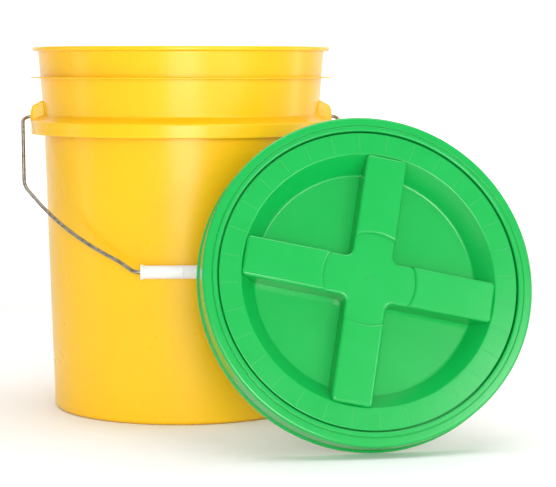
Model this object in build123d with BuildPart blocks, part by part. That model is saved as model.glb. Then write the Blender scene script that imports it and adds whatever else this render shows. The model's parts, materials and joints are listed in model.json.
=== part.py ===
from build123d import *
from math import acos, atan, cos, degrees, hypot, radians, sin
import os

# A five-gallon plastic fermenting bucket with a wire bail, and beside it the two-part lid
# that closes it: an adapter ring that snaps onto the bucket's lip, and a lid that screws
# into the ring. All sizes are in millimetres. The origin is the centre of the bucket's
# underside, +Z is up, the front is towards -Y, and the bail is hinged on the X axis.

# ---- Driving dimensions: bucket ---------------------------------------------------------
bucket_height = 368.3
lip_r = 151.7
lip_overhang = 5.7
lip_height = 4.6
lip_round = 1.8
neck_flare = 5.1
base_r = 131.9
base_round = 4.0
wall = 2.3
floor_thickness = 2.8
floor_fillet = 5.0

# Rings round the bucket, each placed by its drop from the top of the lip.
neck_drop = 68.3
flange_drop = 31.0
flange_beyond_lip = 1.7
flange_thickness = 1.5
band_beyond_lip = 2.0
band_top_drop = 68.7
band_corner_drop = 74.8
band_bottom_drop = 88.0
band_wall = 1.8
gusset_count = 24
gusset_thickness = 1.5
gusset_rise = 3.0

# Ears that hold the bail.
ear_width = 40.0
ear_beyond_lip = 0.4
ear_root_drop = 54.4
ear_corner_drop = 59.8
ear_wall = 1.8
boss_r = 8.0
boss_stand_out = 2.2
pivot_drop = 71.0

# ---- Driving dimensions: bail and grip --------------------------------------------------
wire_r = 1.85
wire_clearance = 0.4
hook_reach = 9.5
hook_bend = 4.0
hook_inset = 2.45
leg_stand_off = 10.4
leg_bend = 7.0
bail_drop = 204.4
# Corners of each leg below the ear: how far inside the leg's top or outside the grip's
# end, the share of the bail's drop, and the bend's radius.
knee_inset = 6.0
knee_share = 0.46
knee_bend = 30.0
sweep_inset = 47.9
sweep_share = 0.754
sweep_bend = 280.0
shoulder_reach = 20.0
shoulder_share = 0.937
shoulder_bend = 40.0
grip_end_reach = 5.8
grip_end_bend = 12.0
grip_r = 6.5
grip_end_r = 7.3
grip_end_length = 2.5
grip_ring_r = 6.9
grip_ring_length = 1.6
grip_half_length = 40.2
grip_bore_clearance = 0.45
grip_wall_gap = 0.3

# ---- Driving dimensions: lid ------------------------------------------------------------
# Heights here are measured from the top of the bucket's lip when the lid is fitted.
lip_clearance = 0.5
mouth_clearance = 0.9
ring_wall = 1.8
ring_top_wall = 2.5
skirt_depth = 24.0
bead_stand_out = 1.5
bead_height = 2.5
snap_stand_in = 2.4
snap_gap = 0.6
shoulder_round = 2.0
ring_groove_width = 1.0
ring_groove_depth = 0.8
ring_ridge_width = 3.8
ring_ridge_height = 0.6
seat_wall = 2.4
land_depth = 2.5
land_width = 8.4
collar_wall = 2.4
collar_depth = 26.0
gasket_thickness = 2.0
gasket_edge_gap = 0.9
gasket_width = 6.0

lid_wall = 2.5
lid_edge_gap = 1.4
lid_top = 3.5
thread_depth = 2.3
thread_gap = 0.6
thread_width = 3.0
thread_crest = 1.6
thread_lead = 12.0
thread_turns = 1.0
thread_axial_gap = 0.4
ring_thread_start = -18.0
lid_skirt_end = -23.5
recess_inset = 8.1
slope_run = 15.1
recess_depth = 20.0
arm_width = 38.0
arm_inset = 1.6
arm_height = 2.3
arm_turn = -12.5
hub_r = 42.6
hub_step = 2.5
inner_corner_r = 7.0
nub_r = 2.5
nub_height = 0.5
rib_count = 32
rib_thickness = 1.5
rib_depth = 10.0
seal_r = 1.7
seal_gap = 0.3
seal_groove_depth = 0.5
seal_groove_margin = 0.4

# Where the lid stands: in front of the bucket, on the edge of its skirt, leaning back.
lid_lean = 19.0
lid_yaw = 8.0
lid_x = 170.0
lid_stand_off = 34.0

# ---- Derived sizes: bucket and bail -----------------------------------------------------
mouth_r = lip_r - lip_overhang
flange_r = lip_r + flange_beyond_lip
band_r = lip_r + band_beyond_lip
ear_reach = lip_r + ear_beyond_lip
waist_r = mouth_r - neck_flare
neck_z = bucket_height - neck_drop
lip_z = bucket_height - lip_height
flange_z = bucket_height - flange_drop
band_top_z = bucket_height - band_top_drop
band_corner_z = bucket_height - band_corner_drop
band_bottom_z = bucket_height - band_bottom_drop
ear_root_z = bucket_height - ear_root_drop
ear_corner_z = bucket_height - ear_corner_drop
pivot_z = bucket_height - pivot_drop


def wall_r(z):
    """Outer radius of the bucket's wall at a height."""
    if z < neck_z:
        return base_r + (waist_r - base_r) * z / neck_z
    return waist_r + (mouth_r - waist_r) * (z - neck_z) / (lip_z - neck_z)


def nearest(sketch, x, y):
    """The corner of a sketch that is nearest to a point in the sketch's own plane."""
    return sketch.vertices().sort_by_distance((x, y, 0))[0]


# The bail hangs forward, at the angle below level where its grip rests against the wall.
wall_slope = atan((waist_r - base_r) / neck_z)
grip_axis_gap = grip_ring_r + grip_wall_gap
grip_axis_offset = grip_axis_gap + base_r * cos(wall_slope) + pivot_z * sin(wall_slope)
hang_angle = wall_slope + acos(grip_axis_offset / bail_drop)

hook_x = ear_reach - ear_wall - hook_inset - wire_r
leg_x = ear_reach + leg_stand_off
bail_plane = Plane(
    origin=(0, 0, pivot_z),
    x_dir=(1, 0, 0),
    z_dir=(0, sin(hang_angle), -cos(hang_angle)),
)

# ---- Derived sizes: lid -----------------------------------------------------------------
skirt_in_r = lip_r + lip_clearance
skirt_r = skirt_in_r + ring_wall
bead_r = skirt_r + bead_stand_out
ring_roof = gasket_thickness
ring_top = ring_roof + ring_top_wall
seat_out_r = mouth_r - wall - mouth_clearance
seat_r = seat_out_r - seat_wall
ridge_top = ring_top + ring_ridge_height
ridge_out_r = seat_r + ring_ridge_width + ring_ridge_height
groove_out_r = ridge_out_r + ring_groove_width
collar_r = seat_r - land_width
land_z = -land_depth
land_under_z = land_z - ring_top_wall
snap_top_z = -lip_height - snap_gap
thread_rise = thread_lead * thread_turns

lid_r = seat_r - lid_edge_gap
lid_under = lid_top - lid_wall
lid_skirt_r = collar_r - thread_depth - thread_gap
lid_skirt_in_r = lid_skirt_r - collar_wall
lid_thread_start = ring_thread_start - thread_width - thread_axial_gap
floor_top = lid_top - recess_depth
floor_under = floor_top - lid_wall
recess_r = lid_skirt_in_r - recess_inset
recess_floor_r = recess_r - slope_run
arm_r = recess_r - arm_inset
slope_step = lid_wall * hypot(slope_run, recess_depth) / recess_depth
arm_top = lid_top + arm_height
hub_top = arm_top - hub_step
seal_z = land_z + seal_gap + seal_r
seal_mid_r = (collar_r + seat_r) / 2
groove_half = seal_r + seal_groove_margin

lean = radians(lid_lean)
yaw = radians(lid_yaw)
lid_seat = Plane(
    origin=(
        lid_x,
        -(bail_drop + grip_r + lid_stand_off),
        bead_r * cos(lean) + skirt_depth * sin(lean),
    ),
    x_dir=(cos(yaw), sin(yaw), 0),
    z_dir=(sin(yaw) * cos(lean), -cos(yaw) * cos(lean), sin(lean)),
)


# ---- Bucket -----------------------------------------------------------------------------
def solid_to(inset):
    """Solid of revolution that ends a given depth inside the bucket's outer wall surface."""
    with BuildPart() as core:
        with BuildSketch(Plane.XZ):
            with BuildLine():
                Polyline(
                    (0, 0),
                    (base_r - inset, 0),
                    (waist_r - inset, neck_z),
                    (mouth_r - inset, lip_z),
                    (0, lip_z),
                    close=True,
                )
            make_face()
        revolve(axis=Axis.Z)
    return core.part


mid_wall_core = solid_to(wall / 2)
outer_wall_core = solid_to(0)

# One gusset of the channel under the band, at angle 0.
with BuildPart() as gusset:
    with BuildSketch(Plane.XZ):
        with BuildLine():
            Polyline(
                (base_r, band_bottom_z + gusset_rise),
                (band_r - band_wall / 2, band_bottom_z + gusset_rise),
                (band_r - band_wall / 2, band_corner_z - band_wall / 2),
                (wall_r(band_top_z), band_top_z - band_wall),
                (base_r, band_top_z - band_wall),
                close=True,
            )
        make_face()
    extrude(amount=gusset_thickness / 2, both=True)

# Outside and pocket of the ear at +X.
with BuildPart() as ear:
    with BuildSketch(Plane.XZ):
        with BuildLine():
            Polyline(
                (base_r, band_bottom_z),
                (ear_reach, band_bottom_z),
                (ear_reach, ear_corner_z),
                (wall_r(ear_root_z), ear_root_z),
                (base_r, ear_root_z),
                close=True,
            )
        make_face()
    extrude(amount=ear_width / 2, both=True)
    with BuildSketch(Plane.YZ.offset(ear_reach)):
        with Locations((0, pivot_z)):
            Circle(boss_r)
    extrude(amount=boss_stand_out)

with BuildPart() as ear_pocket:
    with BuildSketch(Plane.XZ):
        with BuildLine():
            Polyline(
                (base_r, band_bottom_z - wall),
                (ear_reach - ear_wall, band_bottom_z - wall),
                (ear_reach - ear_wall, ear_corner_z - ear_wall),
                (wall_r(ear_root_z), ear_root_z - ear_wall),
                (base_r, ear_root_z - ear_wall),
                close=True,
            )
        make_face()
    extrude(amount=ear_width / 2 - ear_wall, both=True)
    add(outer_wall_core, mode=Mode.SUBTRACT)

with BuildPart() as outer_features:
    with BuildSketch(Plane.XZ):
        with Locations(((wall_r(flange_z) - wall + flange_r) / 2, flange_z)):
            Rectangle(flange_r - wall_r(flange_z) + wall, flange_thickness)
        with BuildLine():
            Polyline(
                (base_r, band_top_z),
                (wall_r(band_top_z), band_top_z),
                (band_r, band_corner_z),
                (band_r, band_bottom_z),
                (band_r - band_wall, band_bottom_z),
                (band_r - band_wall, band_corner_z - band_wall / 2),
                (wall_r(band_top_z), band_top_z - band_wall),
                (base_r, band_top_z - band_wall),
                close=True,
            )
        make_face()
    revolve(axis=Axis.Z)
    with PolarLocations(0, gusset_count, start_angle=180 / gusset_count):
        add(gusset.part)
    with PolarLocations(0, 2):
        add(ear.part)
    add(mid_wall_core, mode=Mode.SUBTRACT)
    with PolarLocations(0, 2):
        add(ear_pocket.part, mode=Mode.SUBTRACT)

with BuildPart() as bucket:
    with BuildSketch(Plane.XZ) as bucket_section:
        with BuildLine():
            Polyline(
                (0, 0),
                (base_r, 0),
                (waist_r, neck_z),
                (mouth_r, lip_z),
                (lip_r, lip_z),
                (lip_r, bucket_height),
                (mouth_r - wall, bucket_height),
                (waist_r - wall, neck_z),
                (base_r - wall, floor_thickness),
                (0, floor_thickness),
                close=True,
            )
        make_face()
        fillet(nearest(bucket_section, base_r, 0), base_round)
        fillet(nearest(bucket_section, base_r - wall, floor_thickness), floor_fillet)
        fillet(nearest(bucket_section, lip_r, bucket_height), lip_round)
        fillet(nearest(bucket_section, lip_r, lip_z), lip_round)
        fillet(nearest(bucket_section, mouth_r - wall, bucket_height), wall / 2)
    revolve(axis=Axis.Z)
    add(outer_features.part)
    with BuildSketch(Plane.YZ.offset(waist_r)):
        with Locations((0, pivot_z)):
            Circle(wire_r + wire_clearance)
    extrude(amount=band_r - waist_r + boss_stand_out, mode=Mode.SUBTRACT)
    with BuildSketch(Plane.YZ.offset(-waist_r)):
        with Locations((0, pivot_z)):
            Circle(wire_r + wire_clearance)
    extrude(amount=waist_r - band_r - boss_stand_out, mode=Mode.SUBTRACT)

# ---- Bail: one bent wire, hooked into the ears, drawn in its own plane ------------------
# Each corner is (distance out from the middle, distance from the pivot, bend radius).
bail_corners = (
    (hook_x, 0, hook_bend),
    (leg_x, 0, leg_bend),
    (leg_x - knee_inset, knee_share * bail_drop, knee_bend),
    (leg_x - sweep_inset, sweep_share * bail_drop, sweep_bend),
    (grip_half_length + shoulder_reach, shoulder_share * bail_drop, shoulder_bend),
    (grip_half_length + grip_end_reach, bail_drop, grip_end_bend),
)
right_points = [(x, drop) for x, drop, bend in bail_corners]
left_points = [(-x, drop) for x, drop, bend in reversed(bail_corners)]
right_bends = [bend for x, drop, bend in bail_corners]
hook_ends = [(hook_x, -hook_reach), (-hook_x, -hook_reach)]
bail_points = hook_ends[:1] + right_points + left_points + hook_ends[1:]

with BuildPart() as bail:
    with BuildLine(bail_plane) as bail_path:
        FilletPolyline(*bail_points, radius=right_bends + right_bends[::-1])
    with BuildSketch(Plane(bail_path.line @ 0, z_dir=bail_path.line % 0)):
        Circle(wire_r)
    sweep(path=bail_path.line)

# ---- Grip: a plastic tube on the middle of the bail, free to turn ------------------------
grip_axis = Axis(bail_plane.from_local_coords((0, bail_drop, 0)), (1, 0, 0))
grip_bore_r = wire_r + grip_bore_clearance
with BuildPart() as grip:
    with BuildSketch(bail_plane) as grip_section:
        with Locations((0, bail_drop + (grip_bore_r + grip_r) / 2)):
            Rectangle(2 * grip_half_length, grip_r - grip_bore_r)
        with Locations((0, bail_drop + (grip_bore_r + grip_ring_r) / 2)):
            Rectangle(grip_ring_length, grip_ring_r - grip_bore_r)
        end_x = grip_half_length - grip_end_length / 2
        end_y = bail_drop + (grip_bore_r + grip_end_r) / 2
        with Locations((end_x, end_y), (-end_x, end_y)):
            Rectangle(grip_end_length, grip_end_r - grip_bore_r)
    revolve(axis=grip_axis)

# ---- Adapter ring of the lid, drawn level in the lid's own frame and then placed ---------
thread_flank = (thread_width - thread_crest) / 2


def thread_ridge(root_r, crest_r, start_z):
    """Helical thread ridge about Z, from its root radius to its crest radius."""
    root_overlap = collar_wall / 4
    base = root_r - root_overlap if crest_r > root_r else root_r + root_overlap
    with BuildPart() as ridge:
        with BuildLine() as path:
            Helix(thread_lead, thread_rise, root_r, center=(0, 0, start_z))
        start = path.line @ 0
        with BuildSketch(Plane(start, x_dir=(1, 0, 0), z_dir=path.line % 0)):
            with BuildLine():
                Polyline(
                    (base - root_r, thread_width / 2),
                    (0, thread_width / 2),
                    (crest_r - root_r, thread_width / 2 - thread_flank),
                    (crest_r - root_r, thread_flank - thread_width / 2),
                    (0, -thread_width / 2),
                    (base - root_r, -thread_width / 2),
                    close=True,
                )
            make_face()
        sweep(path=path.line, is_frenet=True)
    return ridge.part


with BuildPart() as level_ring:
    with BuildSketch(Plane.XZ) as ring_section:
        with BuildLine():
            Polyline(
                (skirt_in_r, -skirt_depth),
                (bead_r, -skirt_depth),
                (bead_r, bead_height - skirt_depth),
                (skirt_r, bead_height + bead_stand_out - skirt_depth),
                (skirt_r, ring_top),
                (groove_out_r, ring_top),
                (groove_out_r, ring_top - ring_groove_depth),
                (ridge_out_r, ring_top - ring_groove_depth),
                (ridge_out_r, ridge_top),
                (seat_r + ring_ridge_height, ridge_top),
                (seat_r, ring_top),
                (seat_r, land_z),
                (collar_r, land_z),
                (collar_r, -collar_depth),
                (collar_r + collar_wall, -collar_depth),
                (collar_r + collar_wall, land_under_z),
                (seat_out_r, land_under_z),
                (seat_out_r, ring_roof),
                (skirt_in_r, ring_roof),
                (skirt_in_r, snap_top_z),
                (skirt_in_r - snap_stand_in, snap_top_z - snap_stand_in / 3),
                (skirt_in_r - snap_stand_in, snap_top_z - snap_stand_in),
                (skirt_in_r, snap_top_z - 2 * snap_stand_in),
                close=True,
            )
        make_face()
        fillet(nearest(ring_section, skirt_r, ring_top), shoulder_round)
    revolve(axis=Axis.Z)
    add(thread_ridge(collar_r, collar_r - thread_depth, ring_thread_start))

with BuildPart(lid_seat) as lid_ring:
    add(level_ring.part)

with BuildPart(lid_seat) as rim_gasket:
    with BuildSketch(lid_seat):
        Circle(skirt_in_r - gasket_edge_gap)
        Circle(skirt_in_r - gasket_edge_gap - gasket_width, mode=Mode.SUBTRACT)
    extrude(amount=gasket_thickness)

# ---- Screw lid and its seal --------------------------------------------------------------
with BuildPart() as lid_rib:
    with BuildSketch(Plane.XZ):
        with BuildLine():
            Polyline(
                (recess_r, lid_under + lid_wall / 2),
                (lid_skirt_in_r + collar_wall / 2, lid_under + lid_wall / 2),
                (lid_skirt_in_r + collar_wall / 2, lid_under - rib_depth),
                (recess_r - slope_run * rib_depth / recess_depth, lid_under - rib_depth),
                close=True,
            )
        make_face()
    extrude(amount=rib_thickness / 2, both=True)


def cross(width, length):
    """Face of the lid's four arms, seen from above, for use inside a sketch."""
    Rectangle(length, width, rotation=arm_turn)
    Rectangle(width, length, rotation=arm_turn)


with BuildPart() as level_lid:
    with BuildSketch(Plane.XZ) as lid_section:
        with BuildLine():
            Polyline(
                (0, floor_under),
                (0, floor_top),
                (recess_floor_r, floor_top),
                (recess_r, lid_top),
                (lid_r, lid_top),
                (lid_r, lid_under),
                (seal_mid_r + groove_half, lid_under),
                (seal_mid_r + groove_half, lid_under + seal_groove_depth),
                (seal_mid_r - groove_half, lid_under + seal_groove_depth),
                (seal_mid_r - groove_half, lid_under),
                (lid_skirt_r, lid_under),
                (lid_skirt_r, lid_skirt_end),
                (lid_skirt_in_r, lid_skirt_end),
                (lid_skirt_in_r, lid_under),
                (recess_r + slope_step - slope_run * lid_wall / recess_depth, lid_under),
                (recess_floor_r + slope_step - slope_run * lid_wall / recess_depth, floor_under),
                close=True,
            )
        make_face()
    revolve(axis=Axis.Z)
    with PolarLocations(0, rib_count):
        add(lid_rib.part)
    with BuildSketch(Plane.XY.offset(floor_under)) as arms:
        cross(arm_width, 2 * arm_r)
        corners = arms.vertices().group_by(lambda v: round(hypot(v.X, v.Y)))[0]
        fillet(corners, inner_corner_r)
    extrude(amount=arm_top - floor_under)
    with BuildSketch(Plane.XY.offset(hub_top)):
        Circle(hub_r)
    extrude(amount=hub_step, mode=Mode.SUBTRACT)
    with BuildSketch(Plane.XY.offset(floor_under)):
        cross(arm_width - 2 * lid_wall, 2 * (arm_r - lid_wall))
    extrude(amount=hub_top - lid_wall - floor_under, mode=Mode.SUBTRACT)
    with BuildSketch(Plane.XY.offset(hub_top - lid_wall)):
        cross(arm_width - 2 * lid_wall, 2 * (arm_r - lid_wall))
        Circle(hub_r + lid_wall, mode=Mode.SUBTRACT)
    extrude(amount=hub_step, mode=Mode.SUBTRACT)
    with BuildSketch(Plane.XY.offset(hub_top)):
        Circle(nub_r)
    extrude(amount=nub_height)
    add(thread_ridge(lid_skirt_r, lid_skirt_r + thread_depth, lid_thread_start))

with BuildPart(lid_seat) as screw_lid:
    add(level_lid.part)

with BuildPart() as level_seal:
    with BuildSketch(Plane.XZ):
        with Locations((seal_mid_r, seal_z)):
            Circle(seal_r)
    revolve(axis=Axis.Z)

with BuildPart(lid_seat) as lid_seal:
    add(level_seal.part)

# ---- Files ------------------------------------------------------------------------------
os.makedirs("parts", exist_ok=True)
bucket.part.label = "bucket"
export_step(bucket.part, "parts/bucket.step")
bail.part.label = "bail"
export_step(bail.part, "parts/bail.step")
grip.part.label = "grip"
export_step(grip.part, "parts/grip.step")
lid_ring.part.label = "lid_ring"
export_step(lid_ring.part, "parts/lid_ring.step")
rim_gasket.part.label = "rim_gasket"
export_step(rim_gasket.part, "parts/rim_gasket.step")
lid_seal.part.label = "lid_seal"
export_step(lid_seal.part, "parts/lid_seal.step")
screw_lid.part.label = "screw_lid"
export_step(screw_lid.part, "parts/screw_lid.step")

# Places and directions of the joints.
turn = lid_seat.z_dir
print("pivot z", round(pivot_z, 3), "hang angle", round(degrees(hang_angle), 3))
print("bail travel", round(180 + 2 * degrees(hang_angle), 3))
print("grip axis", grip_axis.position)
print("lid seat", lid_seat.origin, "normal", turn)
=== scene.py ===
"""Looks of a plastic fermenting bucket with a wire bail and a two-part screw lid."""
import json
import logging
import math
from dataclasses import dataclass
from enum import Enum
from typing import Sequence

import bmesh
import bpy
from mathutils import Matrix, Vector


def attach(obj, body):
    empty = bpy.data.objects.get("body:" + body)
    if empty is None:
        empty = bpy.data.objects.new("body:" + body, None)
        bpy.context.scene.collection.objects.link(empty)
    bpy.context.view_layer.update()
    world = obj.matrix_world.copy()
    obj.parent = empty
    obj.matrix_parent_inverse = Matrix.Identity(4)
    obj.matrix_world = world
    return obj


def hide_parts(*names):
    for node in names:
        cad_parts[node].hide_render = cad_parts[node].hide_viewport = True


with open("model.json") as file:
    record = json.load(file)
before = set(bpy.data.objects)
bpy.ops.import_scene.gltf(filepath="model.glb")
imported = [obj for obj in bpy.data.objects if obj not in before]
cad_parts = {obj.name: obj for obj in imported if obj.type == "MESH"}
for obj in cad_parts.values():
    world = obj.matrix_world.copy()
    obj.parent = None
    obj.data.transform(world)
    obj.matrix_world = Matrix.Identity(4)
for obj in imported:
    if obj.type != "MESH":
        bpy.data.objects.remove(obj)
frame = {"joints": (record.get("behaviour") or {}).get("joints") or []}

logging.basicConfig(level=logging.INFO, format="%(message)s")
log = logging.getLogger("bucket")

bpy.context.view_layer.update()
MM = 0.001
ROUND_STEPS = 6
LARGE_SEGMENTS = 240
MERGE_DISTANCE = 1e-6
LEAST_MITRE = 0.3
QUARTER = math.pi / 2
WHITE = (1.0, 1.0, 1.0, 1.0)
Colour = tuple[float, float, float, float]
Corner = tuple[float, float, float]
Point = tuple[float, float]


# ---- Choices ---------------------------------------------------------------------------
class Part(Enum):
    """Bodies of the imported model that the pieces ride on."""

    BUCKET = "bucket"
    BAIL = "bail"
    GRIP = "grip"
    RING = "lid_ring"
    SEAL = "lid_seal"
    LID = "screw_lid"


class Slot(Enum):
    """Material slots of the record."""

    BUCKET = "bucket_plastic"
    WIRE = "bail_wire"
    GRIP = "grip_plastic"
    LID = "lid_plastic"
    RUBBER = "seal_rubber"


class Cut(Enum):
    """Ways in which one closed mesh is combined with another."""

    UNION = "UNION"
    DIFFERENCE = "DIFFERENCE"


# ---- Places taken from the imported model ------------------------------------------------
def joint(name: str) -> dict:
    """Finds a joint of the record."""
    return next(entry for entry in frame["joints"] if entry["name"] == name)


PIVOT = Vector(joint("bail_swing")["pos_m"])
GRIP_CENTRE = Vector(joint("grip_spin")["pos_m"])
LID_CENTRE = Vector(joint("lid_turn")["pos_m"])
LID_NORMAL = Vector(joint("lid_turn")["axis"]).normalized()


def lid_matrix() -> Matrix:
    """Works out the lid's place from its screw axis."""
    across = Vector((-LID_NORMAL.y, LID_NORMAL.x, 0.0)).normalized()
    up = LID_NORMAL.cross(across)
    turn = Matrix((across, up, LID_NORMAL)).transposed().to_4x4()
    return Matrix.Translation(LID_CENTRE) @ turn


# ---- Mesh building ---------------------------------------------------------------------
def rounded(corners: Sequence[Corner], closed: bool = True, steps: int = ROUND_STEPS) -> list[Point]:
    """Rounds the corners of an outline.

    Args:
        corners: Each corner's two coordinates and its radius.
        closed: Whether the last corner joins the first.
        steps: Straight pieces in each rounded corner.

    Returns:
        The outline's points.
    """
    points: list[Point] = []
    count = len(corners)
    for index, (x, y, radius) in enumerate(corners):
        is_end = not closed and index in (0, count - 1)
        if radius <= 0 or is_end:
            points.append((x, y))
            continue
        here = Vector((x, y))
        before = Vector(corners[index - 1][:2]) - here
        after = Vector(corners[(index + 1) % count][:2]) - here
        half = before.angle(after) / 2
        reach = radius / math.tan(half)
        start = here + before.normalized() * reach
        end = here + after.normalized() * reach
        middle = here + (before.normalized() + after.normalized()).normalized() * radius / math.sin(half)
        first, last = start - middle, end - middle
        sweep = first.angle_signed(last)
        for step in range(steps + 1):
            arm = first.copy()
            arm.rotate(Matrix.Rotation(-sweep * step / steps, 2))
            points.append(tuple(middle + arm))
    return points


def new_object(name: str, mesh: bpy.types.Mesh) -> bpy.types.Object:
    """Links a mesh to the scene as an object."""
    item = bpy.data.objects.new(name, mesh)
    bpy.context.scene.collection.objects.link(item)
    return item


def from_faces(name: str, points: Sequence[Sequence[float]], faces: Sequence[Sequence[int]]) -> bpy.types.Object:
    """Makes an object from points in millimetres, with its faces turned outwards."""
    mesh = bpy.data.meshes.new(name)
    mesh.from_pydata([Vector(point) * MM for point in points], [], faces)
    work = bmesh.new()
    work.from_mesh(mesh)
    bmesh.ops.recalc_face_normals(work, faces=work.faces)
    work.to_mesh(mesh)
    work.free()
    return new_object(name, mesh)


def lathe(name: str, outline: Sequence[Point], segments: int = LARGE_SEGMENTS) -> bpy.types.Object:
    """Turns a closed outline round the Z axis.

    Args:
        name: The object's name.
        outline: Radius and height of each point, in millimetres.
        segments: Divisions of the circle.

    Returns:
        The closed solid of revolution.
    """
    points: list[tuple[float, float, float]] = []
    rings: list[list[int]] = []
    for radius, height in outline:
        first = len(points)
        if radius <= 0:
            points.append((0.0, 0.0, height))
            rings.append([first] * segments)
            continue
        for step in range(segments):
            angle = 2 * math.pi * step / segments
            points.append((radius * math.cos(angle), radius * math.sin(angle), height))
        rings.append(list(range(first, first + segments)))
    faces = []
    for index, ring in enumerate(rings):
        other = rings[(index + 1) % len(rings)]
        if ring[0] == ring[1] and other[0] == other[1]:
            continue
        for step in range(segments):
            after = (step + 1) % segments
            quad = [ring[step], ring[after], other[after], other[step]]
            faces.append(list(dict.fromkeys(quad)))
    return from_faces(name, points, faces)


def offset(outline: Sequence[Point], distance: float) -> list[Point]:
    """Moves each point of a closed, anticlockwise outline outwards."""
    moved = []
    count = len(outline)
    for index, (x, y) in enumerate(outline):
        before = Vector(outline[index - 1])
        after = Vector(outline[(index + 1) % count])
        here = Vector((x, y))
        one, two = (here - before).normalized(), (after - here).normalized()
        normal = Vector((one.y + two.y, -one.x - two.x)).normalized()
        mitre = max(LEAST_MITRE, normal.dot(Vector((one.y, -one.x))))
        moved.append((x + normal.x * distance / mitre, y + normal.y * distance / mitre))
    return moved


def round_rows(low: float, high: float, radius: float, flare: float = 0.0, both: bool = False) -> list[Point]:
    """Rows of a block whose upper edge is rounded."""
    rows: list[Point] = []
    angles = [math.pi / 2 * step / ROUND_STEPS for step in range(ROUND_STEPS + 1)]
    if both:
        rows += [(-radius * (1 - math.sin(a)), low + radius * (1 - math.cos(a))) for a in angles]
    else:
        rows.append((flare, low))
    rows += [(-radius * (1 - math.cos(a)), high - radius * (1 - math.sin(a))) for a in angles]
    return rows


def block(name: str, outline: Sequence[Point], rows: Sequence[Point]) -> bpy.types.Object:
    """Builds a closed block from one outline at several heights."""
    points: list[tuple[float, float, float]] = []
    count = len(outline)
    for distance, height in rows:
        points += [(x, y, height) for x, y in offset(outline, distance)]
    faces: list[list[int]] = [list(range(count)), list(range(len(points) - count, len(points)))]
    for row in range(len(rows) - 1):
        for index in range(count):
            after = (index + 1) % count
            base = row * count
            faces.append([base + index, base + after, base + count + after, base + count + index])
    return from_faces(name, points, faces)


def moved(item: bpy.types.Object, matrix: Matrix) -> bpy.types.Object:
    """Moves a piece by moving its mesh, so that its object stays at the origin."""
    item.data.transform(matrix)
    return item


def combine(item: bpy.types.Object, other: bpy.types.Object, cut: Cut) -> bpy.types.Object:
    """Joins one closed mesh to another, or cuts it away, and removes the other."""
    step = item.modifiers.new("combine", "BOOLEAN")
    step.operation = cut.value
    step.solver = "EXACT"
    step.object = other
    return settle(item, other)


def settle(item: bpy.types.Object, *used: bpy.types.Object) -> bpy.types.Object:
    """Makes a piece's modifiers part of its mesh and removes what they used."""
    graph = bpy.context.evaluated_depsgraph_get()
    mesh = bpy.data.meshes.new_from_object(item.evaluated_get(graph))
    item.modifiers.clear()
    item.data = mesh
    for extra in used:
        bpy.data.objects.remove(extra)
    return item


def joined(item: bpy.types.Object, *others: bpy.types.Object) -> bpy.types.Object:
    """Adds other objects' meshes to one object's mesh, unchanged, and removes them."""
    work = bmesh.new()
    for source in (item, *others):
        work.from_mesh(source.data)
    work.to_mesh(item.data)
    work.free()
    for extra in others:
        bpy.data.objects.remove(extra)
    return item


def tidy(item: bpy.types.Object, angle: float = 32.0) -> bpy.types.Object:
    """Merges doubled points and shades smooth up to an angle."""
    work = bmesh.new()
    work.from_mesh(item.data)
    bmesh.ops.remove_doubles(work, verts=work.verts, dist=MERGE_DISTANCE)
    work.to_mesh(item.data)
    work.free()
    item.data.shade_smooth()
    item.data.set_sharp_from_angle(angle=math.radians(angle))
    step = item.modifiers.new("flat faces", "WEIGHTED_NORMAL")
    step.keep_sharp = True
    return settle(item)


# ---- Node trees ------------------------------------------------------------------------
@dataclass
class Tree:
    """A node tree under construction, with short calls to add and link nodes."""

    tree: bpy.types.NodeTree

    def feed(self, node: bpy.types.Node, values: dict[str | int, object]) -> bpy.types.Node:
        """Fills a node's inputs."""
        for key, value in values.items():
            if isinstance(value, bpy.types.NodeSocket):
                self.tree.links.new(value, node.inputs[key])
            else:
                node.inputs[key].default_value = value
        return node

    def add(self, kind: str, values: dict[str | int, object] | None = None, **settings: object) -> bpy.types.Node:
        """Adds a node and fills its inputs."""
        node = self.tree.nodes.new(kind)
        for name, value in settings.items():
            setattr(node, name, value)
        return self.feed(node, values or {})

    def math(self, operation: str, first: object, second: object) -> bpy.types.NodeSocket:
        """Adds a Math node whose inputs are sockets or numbers."""
        return self.add("ShaderNodeMath", {0: first, 1: second}, operation=operation).outputs[0]

    def vector(self, x: object = 0.0, y: object = 0.0, z: object = 0.0) -> bpy.types.NodeSocket:
        """Adds a node that makes a vector of three sockets or numbers, and gives its output."""
        return self.add("ShaderNodeCombineXYZ", {0: x, 1: y, 2: z}).outputs[0]


def geometry_tree(name: str, sizes: dict[str, float], whole: tuple[str, ...] = ()) -> tuple[Tree, bpy.types.Node]:
    """Starts a Geometry Nodes tree with named inputs."""
    group = bpy.data.node_groups.new(name, "GeometryNodeTree")
    group.interface.new_socket("Geometry", in_out="INPUT", socket_type="NodeSocketGeometry")
    for label, value in sizes.items():
        kind = "NodeSocketInt" if label in whole else "NodeSocketFloat"
        group.interface.new_socket(label, in_out="INPUT", socket_type=kind).default_value = value
    group.interface.new_socket("Material", in_out="INPUT", socket_type="NodeSocketMaterial")
    group.interface.new_socket("Geometry", in_out="OUTPUT", socket_type="NodeSocketGeometry")
    tree = Tree(group)
    return tree, tree.add("NodeGroupInput")


def end_tree(tree: Tree, inputs: bpy.types.Node, shape: bpy.types.NodeSocket) -> bpy.types.NodeTree:
    """Ends a Geometry Nodes tree in Realize Instances and Set Material."""
    real = tree.add("GeometryNodeRealizeInstances", {0: shape})
    material = inputs.outputs["Material"]
    paint = tree.add("GeometryNodeSetMaterial", {"Geometry": real.outputs[0], "Material": material})
    tree.add("NodeGroupOutput", {0: paint.outputs[0]})
    return tree.tree


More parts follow.
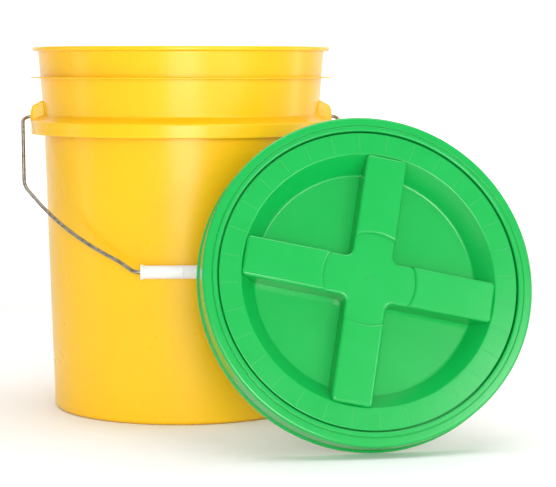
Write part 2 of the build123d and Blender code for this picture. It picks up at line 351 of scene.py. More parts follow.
def run_tree(
    name: str,
    group: bpy.types.NodeTree,
    sizes: dict[str, float],
    material: bpy.types.Material,
    base: bpy.types.Mesh | None = None,
) -> bpy.types.Object:
    """Runs a Geometry Nodes tree and keeps its result as a plain mesh."""
    item = new_object(name, base or bpy.data.meshes.new(name))
    step = item.modifiers.new("shape", "NODES")
    step.node_group = group
    for socket in group.interface.items_tree:
        if socket.in_out == "INPUT" and socket.name in sizes:
            step[socket.identifier] = sizes[socket.name]
        if socket.in_out == "INPUT" and socket.name == "Material":
            step[socket.identifier] = material
    item.update_tag()
    return settle(item)


def radial_plates_tree() -> bpy.types.NodeTree:
    """Builds the tree that sets upright plates in a ring, each along a radius.

    Returns:
        The node tree.
    """
    sizes = {"Count": 24, "Radius": 0.1, "Length": 0.01, "Thickness": 0.001, "Height": 0.01, "Level": 0.0}
    tree, inputs = geometry_tree("plates in a ring", sizes | {"Start": 0.0}, ("Count",))
    given = inputs.outputs
    ring = tree.add("GeometryNodeMeshCircle", {"Vertices": given["Count"], "Radius": given["Radius"]})
    size = tree.vector(given["Length"], given["Thickness"], given["Height"])
    plate = tree.add("GeometryNodeMeshCube", {"Size": size})
    place = tree.add("GeometryNodeInputPosition")
    align = tree.add("FunctionNodeAlignRotationToVector", {"Vector": place.outputs[0]}, axis="X")
    copies = tree.add(
        "GeometryNodeInstanceOnPoints",
        {"Points": ring.outputs["Mesh"], "Instance": plate.outputs["Mesh"], "Rotation": align.outputs[0]},
    )
    lift, turn = tree.vector(z=given["Level"]), tree.vector(z=given["Start"])
    put = tree.add("GeometryNodeTransform", {"Geometry": copies.outputs[0], "Translation": lift, "Rotation": turn})
    return end_tree(tree, inputs, put.outputs[0])


@dataclass(frozen=True)
class Plates:
    """Upright plates in a ring, in millimetres and radians."""

    count: int
    radius: float
    length: float
    thickness: float
    height: float
    level: float
    start: float = 0.0

    def build(self, name: str, tree: bpy.types.NodeTree, material: bpy.types.Material) -> bpy.types.Object:
        """Makes the plates."""
        sizes = {
            "Count": self.count,
            "Radius": self.radius * MM,
            "Length": self.length * MM,
            "Thickness": self.thickness * MM,
            "Height": self.height * MM,
            "Level": self.level * MM,
            "Start": self.start,
        }
        return run_tree(name, tree, sizes, material)


def thread_tree() -> bpy.types.NodeTree:
    """Builds the tree that sweeps a thread ridge along a helix.

    Returns:
        The node tree.
    """
    sizes = {"Radius": 0.13, "Turns": 1.0, "Rise": 0.012, "Depth": 0.002, "Width": 0.003, "Level": 0.0}
    tree, inputs = geometry_tree("thread ridge", sizes)
    given = inputs.outputs
    helix = tree.add(
        "GeometryNodeCurveSpiral",
        {
            "Resolution": LARGE_SEGMENTS,
            "Rotations": given["Turns"],
            "Start Radius": given["Radius"],
            "End Radius": given["Radius"],
            "Height": given["Rise"],
        },
    )
    section = tree.add("GeometryNodeCurvePrimitiveCircle", {"Resolution": 16, "Radius": 1.0})
    scale = tree.vector(given["Depth"], tree.math("MULTIPLY", given["Width"], 0.5), 1.0)
    squeeze = tree.add("GeometryNodeTransform", {"Geometry": section.outputs["Curve"], "Scale": scale})
    upright = tree.add("GeometryNodeSetCurveNormal", {"Curve": helix.outputs["Curve"]}, mode="Z_UP")
    sweep = tree.add(
        "GeometryNodeCurveToMesh",
        {"Curve": upright.outputs[0], "Profile Curve": squeeze.outputs[0], "Fill Caps": True},
    )
    lift = tree.vector(z=given["Level"])
    put = tree.add("GeometryNodeTransform", {"Geometry": sweep.outputs[0], "Translation": lift})
    return end_tree(tree, inputs, put.outputs[0])


def wire_tree() -> bpy.types.NodeTree:
    """Builds the tree that gives a path of edges a round section."""
    tree, inputs = geometry_tree("round wire", {"Radius": 0.002, "Sides": 20}, ("Sides",))
    given = inputs.outputs
    curve = tree.add("GeometryNodeMeshToCurve", {"Mesh": given["Geometry"]})
    section = tree.add("GeometryNodeCurvePrimitiveCircle", {"Resolution": given["Sides"], "Radius": given["Radius"]})
    sweep = tree.add(
        "GeometryNodeCurveToMesh",
        {"Curve": curve.outputs[0], "Profile Curve": section.outputs["Curve"], "Fill Caps": True},
    )
    return end_tree(tree, inputs, sweep.outputs[0])


# ---- Shared shader effects -------------------------------------------------------------
def shader_group(
    name: str, inputs: dict[str, float], outputs: Sequence[str]
) -> tuple[Tree, bpy.types.Node, bpy.types.Node]:
    """Starts a shader node group."""
    group = bpy.data.node_groups.new(name, "ShaderNodeTree")
    for label, value in inputs.items():
        group.interface.new_socket(label, in_out="INPUT", socket_type="NodeSocketFloat").default_value = value
    for label in outputs:
        group.interface.new_socket(label, in_out="OUTPUT", socket_type="NodeSocketFloat")
    tree = Tree(group)
    return tree, tree.add("NodeGroupInput"), tree.add("NodeGroupOutput")


def moulded_surface() -> bpy.types.NodeTree:
    """Builds the group for moulded plastic: slow waviness, fine grain, haze and small scuffs."""
    sizes = {"Wave Scale": 18.0, "Grain Scale": 900.0, "Grain": 0.06, "Haze Scale": 30.0, "Scuff Scale": 120.0}
    tree, inputs, outputs = shader_group("moulded surface", sizes, ("Height", "Haze", "Scuff"))
    place = tree.add("ShaderNodeTexCoord").outputs["Object"]
    fields = {}
    for label, detail in (("Wave Scale", 1.0), ("Grain Scale", 2.0), ("Haze Scale", 4.0), ("Scuff Scale", 6.0)):
        noise = tree.add("ShaderNodeTexNoise", {"Detail": detail, "Vector": place, "Scale": inputs.outputs[label]})
        fields[label] = noise.outputs["Fac"]
    grain = tree.math("MULTIPLY", fields["Grain Scale"], inputs.outputs["Grain"])
    scuff = tree.add("ShaderNodeMapRange", {"From Min": 0.62, "From Max": 0.74, "Value": fields["Scuff Scale"]})
    height = tree.math("ADD", fields["Wave Scale"], grain)
    tree.feed(outputs, {"Height": height, "Haze": fields["Haze Scale"], "Scuff": scuff.outputs[0]})
    return tree.tree


# ---- Finishes --------------------------------------------------------------------------
def linear(red: int, green: int, blue: int) -> Colour:
    """Turns a display colour, from 0 to 255, into the linear colour that shaders use."""
    parts = []
    for value in (red, green, blue):
        share = value / 255
        parts.append(share / 12.92 if share <= 0.04045 else ((share + 0.055) / 1.055) ** 2.4)
    return (*parts, 1.0)


def start_material(name: str) -> tuple[bpy.types.Material, Tree, bpy.types.Node]:
    """Starts a material."""
    material = bpy.data.materials.new(name)
    material.use_nodes = True
    return material, Tree(material.node_tree), material.node_tree.nodes["Principled BSDF"]


@dataclass(frozen=True)
class Plastic:
    """Moulded plastic with a soft gloss."""

    name: str
    colour: Colour
    worn: Colour
    roughness: float = 0.3
    haze: float = 0.12
    wave: float = 0.0006
    scatter: float = 0.0
    scatter_depth: float = 0.002
    gloss: float = 0.5
    haze_tint: float = 0.5
    scuff_tint: float = 0.1
    scuff_share: float = 0.3
    bump: float = 0.25

    def build(self, surface: bpy.types.NodeTree) -> bpy.types.Material:
        """Makes the material.

        Args:
            surface: The shared moulded surface group.

        Returns:
            The material.
        """
        material, tree, shader = start_material(self.name)
        effect = tree.add("ShaderNodeGroup", node_tree=surface).outputs
        amount = tree.math("MULTIPLY", effect["Haze"], self.haze_tint)
        share = tree.math("MULTIPLY", effect["Scuff"], self.scuff_tint)
        colours = {0: tree.math("ADD", amount, share), 6: self.colour, 7: self.worn}
        tint = tree.add("ShaderNodeMix", colours, data_type="RGBA")
        spread = tree.math("MULTIPLY", effect["Haze"], self.haze)
        rub = tree.math("MULTIPLY", effect["Scuff"], self.haze * self.scuff_share)
        relief = {"Strength": self.bump, "Distance": self.wave, "Height": effect["Height"]}
        tree.feed(
            shader,
            {
                "Base Color": tint.outputs[2],
                "Roughness": tree.math("ADD", tree.math("ADD", spread, rub), self.roughness),
                "Normal": tree.add("ShaderNodeBump", relief).outputs[0],
                "IOR": 1.5,
                "Specular IOR Level": self.gloss,
                "Subsurface Weight": self.scatter,
                "Subsurface Scale": self.scatter_depth,
            },
        )
        return material


@dataclass(frozen=True)
class Wire:
    """Galvanised wire, drawn lengthwise and slightly tarnished."""

    name: str
    bright: Colour
    dull: Colour
    cloud_scale: float = 260.0
    cloud_detail: float = 5.0
    dull_to: float = 0.35
    bright_from: float = 0.65
    smoothest: float = 0.22
    roughest: float = 0.42
    bump: float = 0.25
    relief: float = 0.0001

    def build(self) -> bpy.types.Material:
        """Makes the material.

        Returns:
            The material.
        """
        material, tree, shader = start_material(self.name)
        place = tree.add("ShaderNodeTexCoord").outputs["Object"]
        pattern = {"Scale": self.cloud_scale, "Detail": self.cloud_detail, "Vector": place}
        cloud = tree.add("ShaderNodeTexNoise", pattern).outputs["Fac"]
        ramp = tree.add("ShaderNodeValToRGB", {0: cloud})
        ends = ((self.dull_to, self.dull), (self.bright_from, self.bright))
        for stop, (position, colour) in zip(ramp.color_ramp.elements, ends):
            stop.position, stop.color = position, colour
        rough = tree.add("ShaderNodeMapRange", {"To Min": self.smoothest, "To Max": self.roughest, "Value": cloud})
        bump = tree.add("ShaderNodeBump", {"Strength": self.bump, "Distance": self.relief, "Height": cloud})
        tree.feed(
            shader,
            {
                "Base Color": ramp.outputs[0],
                "Roughness": rough.outputs[0],
                "Normal": bump.outputs[0],
                "Metallic": 1.0,
            },
        )
        return material


@dataclass(frozen=True)
class Backdrop:
    """Pale paper that glows softly far behind the object."""

    name: str
    colour: Colour
    roughness: float = 0.75
    haze: float = 0.1
    glow: float = 0.75
    glow_from: float = 0.8
    glow_to: float = 3.2

    def build(self, surface: bpy.types.NodeTree) -> bpy.types.Material:
        """Makes the material.

        Args:
            surface: The shared moulded surface group, for a slight unevenness.

        Returns:
            The material.
        """
        material, tree, shader = start_material(self.name)
        effect = tree.add("ShaderNodeGroup", node_tree=surface).outputs
        place = tree.add("ShaderNodeTexCoord").outputs["Object"]
        depth = tree.add("ShaderNodeSeparateXYZ", {0: place}).outputs[1]
        limits = {"From Min": self.glow_from, "From Max": self.glow_to, "To Max": self.glow, "Value": depth}
        tree.feed(
            shader,
            {
                "Base Color": self.colour,
                "Roughness": tree.math("ADD", tree.math("MULTIPLY", effect["Haze"], self.haze), self.roughness),
                "Emission Strength": tree.add("ShaderNodeMapRange", limits).outputs[0],
                "Emission Color": WHITE,
            },
        )
        return material


@dataclass
class Finishes:
    """The materials of the object, built once."""

    bucket: bpy.types.Material
    lid: bpy.types.Material
    grip: bpy.types.Material
    wire: bpy.types.Material
    rubber: bpy.types.Material
    floor: bpy.types.Material
    dull: bpy.types.Material

    @classmethod
    def make(cls) -> "Finishes":
        """Builds every finish.

        Returns:
            The finishes.
        """
        surface = moulded_surface()
        yellow = Plastic(
            "yellow moulded plastic", linear(247, 195, 20), linear(243, 186, 14),
            roughness=0.24, haze=0.1, wave=0.0006, scatter=0.1, scatter_depth=0.004, gloss=0.36,
        )
        green = Plastic(
            "green moulded plastic", linear(12, 166, 70), linear(20, 176, 82),
            roughness=0.16, haze=0.08, wave=0.0008, scatter=0.08, scatter_depth=0.003,
        )
        white = Plastic(
            "white grip plastic", linear(240, 240, 240), linear(228, 228, 226),
            roughness=0.38, haze=0.1, wave=0.0003, scatter=0.25, scatter_depth=0.004,
        )
        black = Plastic(
            "sealing rubber", linear(34, 34, 35), linear(48, 48, 48), roughness=0.62, haze=0.15, wave=0.0002
        )
        dull = Plastic(
            "green plastic sink mark", linear(16, 160, 72), linear(24, 170, 84), roughness=0.4, haze=0.1, wave=0.0004
        )
        return cls(
            bucket=yellow.build(surface),
            lid=green.build(surface),
            grip=white.build(surface),
            wire=Wire("galvanised wire", linear(172, 168, 158), linear(122, 118, 108)).build(),
            rubber=black.build(surface),
            floor=Backdrop("studio floor", linear(246, 246, 246)).build(surface),
            dull=dull.build(surface),
        )


def dress(item: bpy.types.Object, material: bpy.types.Material, part: Part, node: str) -> bpy.types.Object:
    """Gives a finished piece its material and its body, and hides the imported node that it stands for."""
    item.data.materials.clear()
    item.data.materials.append(material)
    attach(item, part.value)
    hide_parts(node)
    log.info("%s: %d faces on body %s", item.name, len(item.data.polygons), part.value)
    return item


# ---- Bucket ----------------------------------------------------------------------------
@dataclass
class Bucket:
    """The tapered bucket with its lip, rings, band and ears, in millimetres."""

    height: float = 368.3
    base_r: float = 131.9
    waist_r: float = 140.9
    mouth_r: float = 146.0
    lip_r: float = 151.7
    lip_height: float = 4.6
    lip_rounds: tuple[float, float, float] = (1.6, 2.0, 1.2)
    foot_width: float = 16.0
    foot_round: float = 5.0
    middle_z: float = 100.0
    wall: float = 2.3
    floor: float = 2.8
    waist_z: float = 300.0
    waist_bend: float = 40.0
    flange_z: float = 337.3
    flange_r: float = 153.4
    flange_wall: float = 1.5
    band_r: float = 153.7
    band_low: float = 280.3
    band_corner: float = 293.5
    band_high: float = 299.6
    band_wall: float = 1.8
    gussets: int = 24
    gusset_wall: float = 1.5
    gusset_rise: float = 3.0
    gusset_overlap: float = 1.0
    ear_half: float = 20.0
    ear_x: float = 152.1
    ear_corner: float = 308.5
    ear_root: float = 313.9
    ear_wall: float = 1.8
    ear_rise: float = 1.0
    ear_round: float = 1.8
    ear_bend: float = 3.0
    hollow_bend: float = 1.5
    hollow_drop: float = 2.0
    boss_r: float = 8.0
    boss_height: float = 2.2
    boss_depth: float = 6.0
    hole_r: float = 2.25
    drill_turn: float = 0.03

    def wall_r(self, z: float) -> float:
        """Outer radius of the wall at a height."""
        if z < self.waist_z:
            return self.base_r + (self.waist_r - self.base_r) * z / self.waist_z
        top = self.height - self.lip_height
        return self.waist_r + (self.mouth_r - self.waist_r) * (z - self.waist_z) / (top - self.waist_z)

    def outline(self) -> list[Point]:
        """Section of the bucket, from the middle of its underside round and back.

        Returns:
            The points of the closed outline.
        """
        lip_z = self.height - self.lip_height
        under_lip, on_lip, in_mouth = self.lip_rounds
        half = self.flange_wall / 2
        inner = self.mouth_r - self.wall
        band_in = self.band_r - self.band_wall
        under = self.band_high - self.band_wall
        corners = [
            (0, 0, 0),
            (self.base_r - self.foot_width, 0, 0),
            (self.base_r, 0, self.foot_round),
            (self.wall_r(self.middle_z), self.middle_z, 0),
            (self.wall_r(under - 1.0), under - 1.0, 0.8),
            (band_in, self.band_corner - 1.2, 1.2),
            (band_in, self.band_low, 0.5),
            (self.band_r, self.band_low, 0.9),
            (self.band_r, self.band_corner, 2.2),
            (self.wall_r(self.band_high), self.band_high, 2.4),
            (self.wall_r(self.flange_z - half), self.flange_z - half, 0.5),
            (self.flange_r, self.flange_z - half, 0.6),
            (self.flange_r, self.flange_z + half, 0.6),
            (self.wall_r(self.flange_z + half), self.flange_z + half, 0.8),
            (self.mouth_r, lip_z, 0.8),
            (self.lip_r, lip_z, under_lip),
            (self.lip_r, self.height, on_lip),
            (inner, self.height, in_mouth),
            (self.waist_r - self.wall, self.waist_z, self.waist_bend),
            (self.base_r - self.wall, self.floor, self.foot_round),
            (0, self.floor, 0),
        ]
        return rounded(corners)

    def ear(self) -> bpy.types.Object:
        """The ear at +X, as a rounded block along Y with its boss.

        Returns:
            The ear.
        """
        low = self.band_low + self.ear_rise
        side = [
            (self.base_r, low, 0),
            (self.ear_x, low, 0),
            (self.ear_x, self.ear_corner, self.ear_bend),
            (self.wall_r(self.ear_root), self.ear_root, 0),
            (self.base_r, self.ear_root, 0),
        ]
        rows = round_rows(-self.ear_half, self.ear_half, self.ear_round, both=True)
        ear = moved(block("ear", rounded(side), rows), Matrix.Rotation(QUARTER, 4, "X"))
        section = [
            (0, -self.boss_depth, 0),
            (self.boss_r, -self.boss_depth, 0),
            (self.boss_r, self.boss_height, 1.2),
            (0, self.boss_height, 0),
        ]
        boss = lathe("boss", rounded(section), 64)
        return combine(ear, moved(boss, self.outwards(self.ear_x)), Cut.UNION)

    def outwards(self, x: float) -> Matrix:
        """Matrix that turns +Z to +X and moves to a distance along X at the pivot."""
        return Matrix.Translation((x * MM, 0, PIVOT.z)) @ Matrix.Rotation(QUARTER, 4, "Y")

    def ear_hollow(self) -> bpy.types.Object:
        """The space inside the ear at +X, open below."""
        face = self.ear_x - self.ear_wall
        low, high = self.band_low - self.hollow_drop, self.ear_root - self.ear_wall
        side = [
            (self.base_r, low, 0),
            (face, low, 0),
            (face, self.ear_corner - self.ear_wall, self.hollow_bend),
            (self.wall_r(self.ear_root), high, 0),
            (self.base_r, high, 0),
        ]
        half = self.ear_half - self.ear_wall
        hollow = block("ear hollow", rounded(side), [(0, -half), (0, half)])
        return combine(moved(hollow, Matrix.Rotation(QUARTER, 4, "X")), self.core(0.0), Cut.DIFFERENCE)

    def core(self, inset: float) -> bpy.types.Object:
        """Solid that ends a given depth inside the wall's outer surface."""
        top = self.height - self.lip_height
        radii = [radius - inset for radius in (self.base_r, self.waist_r, self.mouth_r)]
        return lathe("core", [(0, -1), (radii[0], -1), (radii[1], self.waist_z), (radii[2], top), (0, top)])

    def drill(self, side: int) -> bpy.types.Object:
        """Cylinder that cuts an ear's wire hole."""
        reach = self.boss_depth
        hole = lathe("wire hole", [(0, -reach), (self.hole_r, -reach), (self.hole_r, reach), (0, reach)], 48)
        return moved(hole, self.outwards(side * self.ear_x) @ Matrix.Rotation(self.drill_turn, 4, "Z"))

    def build(self, finishes: Finishes) -> bpy.types.Object:
        """Builds the bucket.

        Args:
            finishes: The finishes.

        Returns:
            The bucket.
        """
        bucket = lathe("bucket_shell", self.outline())
        ears = self.ear()
        other = new_object("ear left", ears.data.copy())
        moved(other, Matrix.Rotation(math.pi, 4, "Z"))
        ears = combine(joined(ears, other), self.core(self.wall / 2), Cut.DIFFERENCE)
        bucket = combine(bucket, ears, Cut.UNION)
        hollows = self.ear_hollow()
        other = new_object("hollow left", hollows.data.copy())
        moved(other, Matrix.Rotation(math.pi, 4, "Z"))
        bucket = combine(bucket, joined(hollows, other), Cut.DIFFERENCE)
        for side in (1, -1):
            bucket = combine(bucket, self.drill(side), Cut.DIFFERENCE)
        low, high = self.band_low + self.gusset_rise, self.band_corner
        plates = Plates(
            count=self.gussets,
            radius=(self.wall_r(high) + self.band_r - self.band_wall) / 2,
            length=self.band_r - self.band_wall / 2 - self.wall_r(high) + self.gusset_overlap,
            thickness=self.gusset_wall,
            height=high - low,
            level=(low + high) / 2,
            start=math.pi / self.gussets,
        ).build("gussets", radial_plates_tree(), finishes.bucket)
        bucket = combine(bucket, plates, Cut.UNION)
        return dress(tidy(bucket), finishes.bucket, Part.BUCKET, "bucket")


# ---- Bail and grip ---------------------------------------------------------------------
@dataclass
class Bail:
    """The bent wire, hooked into the ears, in millimetres."""

    wire_r: float = 1.85
    hook_x: float = 146.0
    hook_reach: float = 9.5
    hook_bend: float = 4.0
    leg_x: float = 162.5
    leg_bend: float = 7.0
    grip_half: float = 40.2
    knee: Corner = (6.0, 0.46, 30.0)
    sweep: Corner = (47.9, 0.754, 280.0)
    shoulder: Corner = (20.0, 0.937, 40.0)
    grip_end: Point = (5.8, 12.0)

    def path(self) -> list[Vector]:
        """Middle line of the wire, from one hook's tip to the other's.

        The knee and the sweep hold a distance inside the leg, a share of the drop and a bend
        radius. The shoulder and the grip's end hold a distance beyond the grip instead.

        Returns:
            The points, in metres, in the object's frame.
        """
        drop_line = GRIP_CENTRE - PIVOT
        drop = drop_line.length / MM
        down = drop_line.normalized()
        half = [
            (self.hook_x, -self.hook_reach, 0.0),
            (self.hook_x, 0.0, self.hook_bend),
            (self.leg_x, 0.0, self.leg_bend),
            (self.leg_x - self.knee[0], self.knee[1] * drop, self.knee[2]),
            (self.leg_x - self.sweep[0], self.sweep[1] * drop, self.sweep[2]),
            (self.grip_half + self.shoulder[0], self.shoulder[1] * drop, self.shoulder[2]),
            (self.grip_half + self.grip_end[0], drop, self.grip_end[1]),
        ]
        whole = half + [(-x, v, radius) for x, v, radius in reversed(half)]
        line = rounded(whole, closed=False, steps=14)
        return [PIVOT + Vector((x * MM, 0, 0)) + down * v * MM for x, v in line]

    def build(self, finishes: Finishes) -> bpy.types.Object:
        """Builds the wire."""
        points = self.path()
        mesh = bpy.data.meshes.new("bail path")
        mesh.from_pydata(points, [(index, index + 1) for index in range(len(points) - 1)], [])
        sizes = {"Radius": self.wire_r * MM, "Sides": 24}
        wire = run_tree("bail_wire", wire_tree(), sizes, finishes.wire, mesh)
        return dress(tidy(wire, 50.0), finishes.wire, Part.BAIL, "bail")


@dataclass
class Grip:
    """The plastic tube that turns on the bail, in millimetres."""

    half_length: float = 40.2
    radius: float = 6.5
    end_r: float = 7.3
    end_length: float = 2.5
    ring_r: float = 6.9
    ring_half: float = 0.8
    bore_r: float = 2.3

    def build(self, finishes: Finishes) -> bpy.types.Object:
        """Builds the grip."""
        end, lip = self.half_length, self.half_length - self.end_length
        right = [
            (self.radius, self.ring_half + 0.6, 0.4),
            (self.radius, lip - 1.6, 3.0),
            (self.end_r, lip, 0.6),
            (self.end_r, end, 0.9),
            (self.bore_r, end, 0.4),
        ]
        left = [(radius, -z, bend) for radius, z, bend in reversed(right)]
        corners = left + [(self.ring_r, -self.ring_half, 0.3), (self.ring_r, self.ring_half, 0.3)] + right
        grip = lathe("grip_tube", rounded(corners), 96)
        moved(grip, Matrix.Translation(GRIP_CENTRE) @ Matrix.Rotation(QUARTER, 4, "Y"))
        return dress(tidy(grip), finishes.grip, Part.GRIP, "grip")


# ---- Lid -------------------------------------------------------------------------------
@dataclass
class Thread:
    """The lid's thread, in millimetres, with heights from the top of the bucket's lip."""

    depth: float = 2.3
    width: float = 3.0
    lead: float = 12.0
    turns: float = 1.0

    def ridge(self, radius: float, low: float, material: bpy.types.Material) -> bpy.types.Object:
        """Makes one ridge, half sunk into the wall that carries it."""
        sizes = {
            "Radius": radius * MM,
            "Turns": self.turns,
            "Rise": self.lead * self.turns * MM,
            "Depth": self.depth * MM,
            "Width": self.width * MM,
            "Level": low * MM,
        }
        return run_tree("ridge", thread_tree(), sizes, material)


@dataclass
class LidRing:
    """The adapter ring that snaps onto the lip, and its flat gasket, in millimetres."""

    skirt_in: float = 152.2
    skirt_r: float = 154.0
    bead_r: float = 155.5
    skirt_low: float = -24.0
    roof: float = 2.0
    top: float = 4.5
    groove_out: float = 145.8
    ridge_out: float = 144.8
    ridge_top: float = 5.1
    seat_r: float = 140.4
    seat_out: float = 142.8
    land: float = -2.5
    land_under: float = -5.0
    collar_r: float = 132.0
    collar_out: float = 134.4
    collar_low: float = -26.0
    thread_low: float = -18.0
    bead_height: float = 2.6
    bead_slope: float = 4.0
    groove_depth: float = 0.8
    snap_reach: float = 2.4
    snap_levels: tuple[float, float, float, float] = (-5.2, -6.0, -7.6, -10.0)
    gasket_gap: float = 0.9
    gasket_reach: float = 6.9

    def outline(self) -> list[Point]:
        """Section of the ring.

        Returns:
            The points of the closed outline.
        """
        snap = self.skirt_in - self.snap_reach
        root, high, low, end = self.snap_levels
        groove = self.top - self.groove_depth
        corners = [
            (self.skirt_in, self.skirt_low, 0.5),
            (self.bead_r, self.skirt_low, 0.9),
            (self.bead_r, self.skirt_low + self.bead_height, 0.9),
            (self.skirt_r, self.skirt_low + self.bead_slope, 1.0),
            (self.skirt_r, self.top, 2.6),
            (self.groove_out, self.top, 0.5),
            (self.groove_out, groove, 0.2),
            (self.ridge_out, groove, 0.2),
            (self.ridge_out, self.ridge_top, 0.6),
            (self.seat_r, self.ridge_top, 1.6),
            (self.seat_r, self.land, 0.5),
            (self.collar_r, self.land, 0.6),
            (self.collar_r, self.collar_low, 0.6),
            (self.collar_out, self.collar_low, 0.6),
            (self.collar_out, self.land_under, 0.5),
            (self.seat_out, self.land_under, 0.6),
            (self.seat_out, self.roof, 0.5),
            (self.skirt_in, self.roof, 0.5),
            (self.skirt_in, root, 0.2),
            (snap, high, 0.4),
            (snap, low, 0.4),
            (self.skirt_in, end, 0.4),
        ]
        return rounded(corners)

    def build(self, finishes: Finishes, thread: Thread, place: Matrix) -> None:
        """Builds the ring and its gasket."""
        ring = lathe("adapter_ring", self.outline())
        ridge = thread.ridge(self.collar_r, self.thread_low, finishes.lid)
        moved(combine(ring, ridge, Cut.UNION), place)
        dress(tidy(ring), finishes.lid, Part.RING, "lid_ring")
        out, inner = self.skirt_in - self.gasket_gap, self.skirt_in - self.gasket_reach
        section = [(inner, 0, 0.3), (out, 0, 0.3), (out, self.roof, 0.3), (inner, self.roof, 0.3)]
        gasket = lathe("flat_gasket", rounded(section))
        dress(tidy(moved(gasket, place)), finishes.rubber, Part.RING, "rim_gasket")


@dataclass
class ScrewLid:
    """The screw lid with its recess and raised cross, in millimetres."""

    radius: float = 139.0
    top: float = 3.5
    wall: float = 2.5
    recess_r: float = 118.6
    floor_r: float = 103.5
    floor_top: float = -16.5
    skirt_r: float = 129.1
    skirt_in: float = 126.7
    skirt_low: float = -23.5
    arm_half: float = 19.0
    arm_r: float = 117.0
    arm_top: float = 5.8
    arm_turn: float = math.radians(-12.5)
    hub_r: float = 42.6
    hub_top: float = 3.3
    hub_corner: float = 7.0
    edge_round: float = 2.8
    groove_mid: float = 136.2
    groove_half: float = 2.1
    groove_depth: float = 0.5
    ribs: int = 32
    thread_low: float = -21.4
    arm_gap: float = 0.03
    arm_end_round: float = 4.0
    cross_end_round: float = 3.5
    hub_inset: float = 3.0
    sink: float = 1.0
    flare: float = 0.5
    cavity_low: float = -30.0
    cavity_corner: float = 4.0
    nub_r: float = 2.4
    nub_root_r: float = 2.6
    rib_wall: float = 1.5
    rib_height: float = 10.0
    rib_drop: float = 4.8
    rib_overlap: float = 2.0
    mark_r: float = 129.0
    mark_length: float = 15.5
    mark_width: float = 0.8
    mark_height: float = 0.3
    mark_sink: float = 0.09

    def shell(self) -> bpy.types.Object:
        """The lid without its cross.

        Returns:
            The shell, in the lid's level frame.
        """
        under = self.top - self.wall
        run = (self.recess_r - self.floor_r) / (self.top - self.floor_top)
        step = self.wall * math.hypot(1.0, run)
        floor_under = self.floor_top - self.wall
        corners = [
            (0, floor_under, 0),
            (0, self.floor_top, 0),
            (self.floor_r, self.floor_top, 3.0),
            (self.recess_r, self.top, 1.6),
            (self.radius, self.top, 0.9),
            (self.radius, under, 0.4),
            (self.groove_mid + self.groove_half, under, 0.2),
            (self.groove_mid + self.groove_half, under + self.groove_depth, 0.1),
            (self.groove_mid - self.groove_half, under + self.groove_depth, 0.1),
            (self.groove_mid - self.groove_half, under, 0.2),
            (self.skirt_r, under, 0.8),
            (self.skirt_r, self.skirt_low, 0.7),
            (self.skirt_in, self.skirt_low, 0.7),
            (self.skirt_in, under, 0.8),
            (self.recess_r + step - run * self.wall, under, 1.0),
            (self.floor_r + step - run * self.wall, floor_under, 2.0),
        ]
        return lathe("lid_shell", rounded(corners))

    def cross(self, half: float, reach: float, corner: float) -> list[Point]:
        """Outline of the four arms, seen from above."""
        corners: list[Corner] = []
        for quarter in range(4):
            turn = self.arm_turn + quarter * math.pi / 2
            end = self.cross_end_round
            for x, y, radius in ((half, -half, corner), (reach, -half, end), (reach, half, end)):
                corners.append((
                    x * math.cos(turn) - y * math.sin(turn),
                    x * math.sin(turn) + y * math.cos(turn),
                    radius,
                ))
        return rounded(corners)

    def arm(self, quarter: int) -> bpy.types.Object:
        """One raised arm, from its concave inner end to the recess's edge."""
        half = self.arm_half + self.arm_gap
        reach = math.asin(half / self.hub_r)
        angles = [reach * (1 - step / 8) for step in range(17)]
        outline = [(self.hub_r * math.cos(a), self.hub_r * math.sin(a)) for a in angles]
        end = self.arm_end_round
        sides = [outline[-1] + (0.0,), (self.arm_r, -half, end), (self.arm_r, half, end), outline[0] + (0.0,)]
        outline += rounded(sides, closed=False)[1:-1]
        rows = round_rows(self.floor_top - self.sink, self.arm_top, self.edge_round, self.flare)
        arm = block("arm", outline, rows)
        return moved(arm, Matrix.Rotation(self.arm_turn + quarter * math.pi / 2, 4, "Z"))

    def build(self, finishes: Finishes, thread: Thread, place: Matrix) -> None:
        """Builds the screw lid.

        Args:
            finishes: The finishes.
            thread: The lid's thread.
            place: The lid's place.
        """
        lid = self.shell()
        rows = round_rows(self.floor_top - self.sink, self.hub_top, self.edge_round, self.flare)
        hub = block("hub", self.cross(self.arm_half, self.arm_r - self.hub_inset, self.hub_corner), rows)
        lid = combine(lid, hub, Cut.UNION)
        for quarter in range(4):
            lid = combine(lid, self.arm(quarter), Cut.UNION)
        inside = self.cross(self.arm_half - self.wall, self.arm_r - self.wall, self.cavity_corner)
        cavity = block("cavity", inside, [(0, self.cavity_low), (0, self.hub_top - self.wall)])
        lid = combine(lid, cavity, Cut.DIFFERENCE)
        rim, root = (self.nub_r, self.hub_top + 0.5, 0.4), (self.nub_root_r, 2.0, 0)
        nub = lathe("nub", rounded([(0, 2.0, 0), root, rim, (0, self.hub_top + 0.2, 0)]), 32)
        lid = combine(lid, nub, Cut.UNION)
        tree = radial_plates_tree()
        ribs = Plates(
            count=self.ribs,
            radius=(self.recess_r + self.skirt_in) / 2,
            length=self.skirt_in - self.recess_r + self.rib_overlap,
            thickness=self.rib_wall,
            height=self.rib_height,
            level=self.top - self.wall - self.rib_drop,
        ).build("ribs", tree, finishes.lid)
        marks = Plates(
            count=self.ribs,
            radius=self.mark_r,
            length=self.mark_length,
            thickness=self.mark_width,
            height=self.mark_height,
            level=self.top - self.mark_sink,
        ).build("rib_marks", tree, finishes.dull)
        dress(tidy(moved(marks, place)), finishes.dull, Part.LID, "screw_lid")
        lid = combine(lid, ribs, Cut.UNION)
        lid = combine(lid, thread.ridge(self.skirt_r, self.thread_low, finishes.lid), Cut.UNION)
        dress(tidy(moved(lid, place)), finishes.lid, Part.LID, "screw_lid")


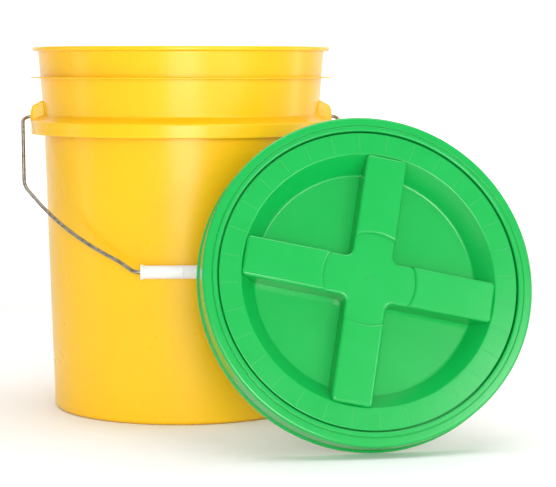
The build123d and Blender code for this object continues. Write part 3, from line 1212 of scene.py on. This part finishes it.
@dataclass
class LidSeal:
    """The round seal under the screw lid's edge, in millimetres."""

    mid_r: float = 136.2
    height: float = -0.5
    section_r: float = 1.7

    def build(self, finishes: Finishes, place: Matrix) -> None:
        """Builds the seal."""
        angles = [2 * math.pi * step / 20 for step in range(20)]
        radius = self.section_r
        outline = [(self.mid_r + radius * math.cos(a), self.height + radius * math.sin(a)) for a in angles]
        seal = lathe("round_seal", outline)
        dress(tidy(moved(seal, place)), finishes.rubber, Part.SEAL, "lid_seal")


# ---- Studio ----------------------------------------------------------------------------
@dataclass(frozen=True)
class Softbox:
    """A soft rectangular light, in metres and watts."""

    name: str
    place: tuple[float, float, float]
    size: tuple[float, float]
    power: float

    def build(self, target: Vector) -> None:
        """Adds the light, facing a point."""
        lamp = bpy.data.lights.new(self.name, "AREA")
        lamp.shape = "RECTANGLE"
        lamp.size, lamp.size_y = self.size
        lamp.energy = self.power
        item = bpy.data.objects.new(self.name, lamp)
        item.location = self.place
        item.rotation_euler = (target - Vector(self.place)).to_track_quat("-Z", "Y").to_euler()
        bpy.context.scene.collection.objects.link(item)


SOFTBOXES = (
    Softbox("left softbox", (-1.6, -0.15, 0.55), (0.3, 1.2), 2.4),
    Softbox("right softbox", (1.6, 0.35, 0.55), (0.3, 1.2), 3.6),
    Softbox("gloss softbox", (1.36, -1.92, 0.84), (0.5, 0.5), 5.5),
    Softbox("front softbox", (0.15, -2.5, 0.5), (1.0, 1.0), 33.0),
    Softbox("right fill", (1.6, -2.0, 0.4), (0.9, 0.9), 7.0),
    Softbox("top softbox", (0.1, 0.1, 2.3), (2.4, 2.2), 38.0),
)


@dataclass
class Studio:
    """Floor, lights and camera, in metres and degrees."""

    camera_distance: float = 1.961
    camera_height: float = 0.351
    lens: float = 123.0
    pitch: float = -5.4
    yaw: float = 2.9
    sensor_width: float = 36.0
    sky: float = 0.42
    target: tuple[float, float, float] = (0.05, -0.1, 0.18)
    half_width: float = 6.0
    back: float = 6.0
    back_top: float = 5.0
    curve: float = 2.0

    def floor(self, finishes: Finishes) -> None:
        """Lays a pale floor that curves up into a backdrop."""
        corners = [(-self.back, 0.0, 0.0), (self.back, 0.0, self.curve), (6.4, self.back_top, 0.0)]
        line = rounded(corners, closed=False, steps=24)
        mesh = bpy.data.meshes.new("floor")
        points = [(x, y, z) for y, z in line for x in (-self.half_width, self.half_width)]
        faces = [(2 * step, 2 * step + 1, 2 * step + 3, 2 * step + 2) for step in range(len(line) - 1)]
        mesh.from_pydata(points, [], faces)
        mesh.materials.append(finishes.floor)
        mesh.shade_smooth()
        new_object("floor", mesh)

    def build(self, finishes: Finishes) -> None:
        """Sets up the floor, the lights, the surroundings and the camera."""
        self.floor(finishes)
        for softbox in SOFTBOXES:
            softbox.build(Vector(self.target))
        world = bpy.data.worlds.new("studio")
        world.use_nodes = True
        sky = world.node_tree.nodes["Background"]
        sky.inputs["Color"].default_value = WHITE
        sky.inputs["Strength"].default_value = self.sky
        bpy.context.scene.world = world
        camera = bpy.data.cameras.new("camera")
        camera.lens = self.lens
        camera.sensor_width = self.sensor_width
        item = bpy.data.objects.new("camera", camera)
        item.location = (0.0, -self.camera_distance, self.camera_height)
        item.rotation_euler = (math.radians(90 + self.pitch), 0.0, math.radians(-self.yaw))
        bpy.context.scene.collection.objects.link(item)
        bpy.context.scene.camera = item
        bpy.context.scene.view_settings.view_transform = "Standard"


def main() -> None:
    """Builds every piece in order, then the studio."""
    finishes = Finishes.make()
    Bucket().build(finishes)
    Bail().build(finishes)
    Grip().build(finishes)
    place, thread = lid_matrix(), Thread()
    LidRing().build(finishes, thread, place)
    ScrewLid().build(finishes, thread, place)
    LidSeal().build(finishes, place)
    Studio().build(finishes)


if __name__ == "__main__":
    main()
